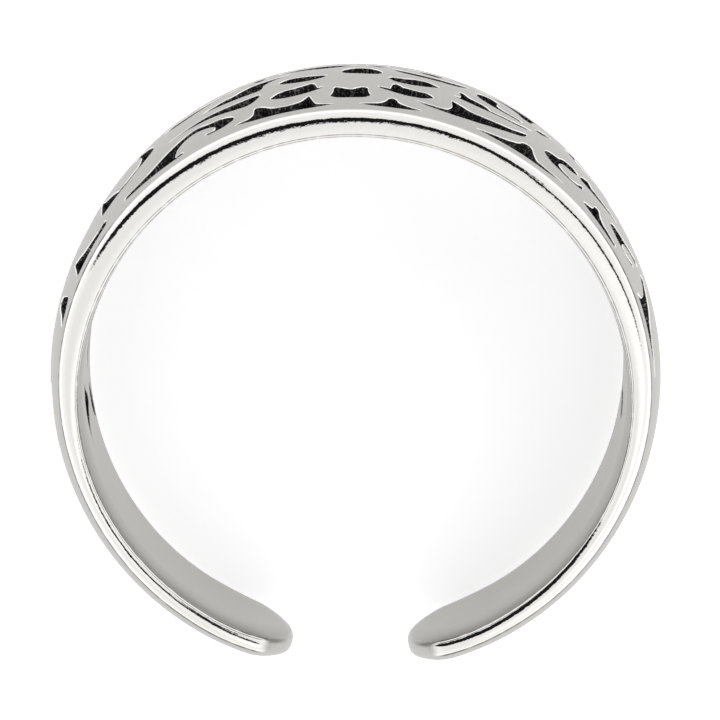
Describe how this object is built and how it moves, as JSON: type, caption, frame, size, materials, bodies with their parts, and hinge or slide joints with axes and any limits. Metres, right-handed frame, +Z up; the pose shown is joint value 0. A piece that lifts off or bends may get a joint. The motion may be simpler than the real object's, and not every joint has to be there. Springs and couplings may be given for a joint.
{
  "type": "toe ring",
  "caption": "Adjustable open toe ring: wide domed band pierced with leaf scrolls, narrowing to two plain arms with rounded tips.",
  "frame": {"origin": "centre of the box on the ground under the ring as it lies on its side", "axes": "+Z up from the ground; -Y towards the wide pierced front (the crest); +Y towards the gap between the tips; the ring's own axis leans 5.8 degrees from +Z towards +Y, because the front is wider than the arms"},
  "size_m": [0.0176, 0.0172, 0.0063],
  "materials": {
    "silver": "polished sterling silver, satin inside, blackened in the piercings"
  },
  "bodies": {
    "root": {"band": "silver"}
  },
  "joints": []
}
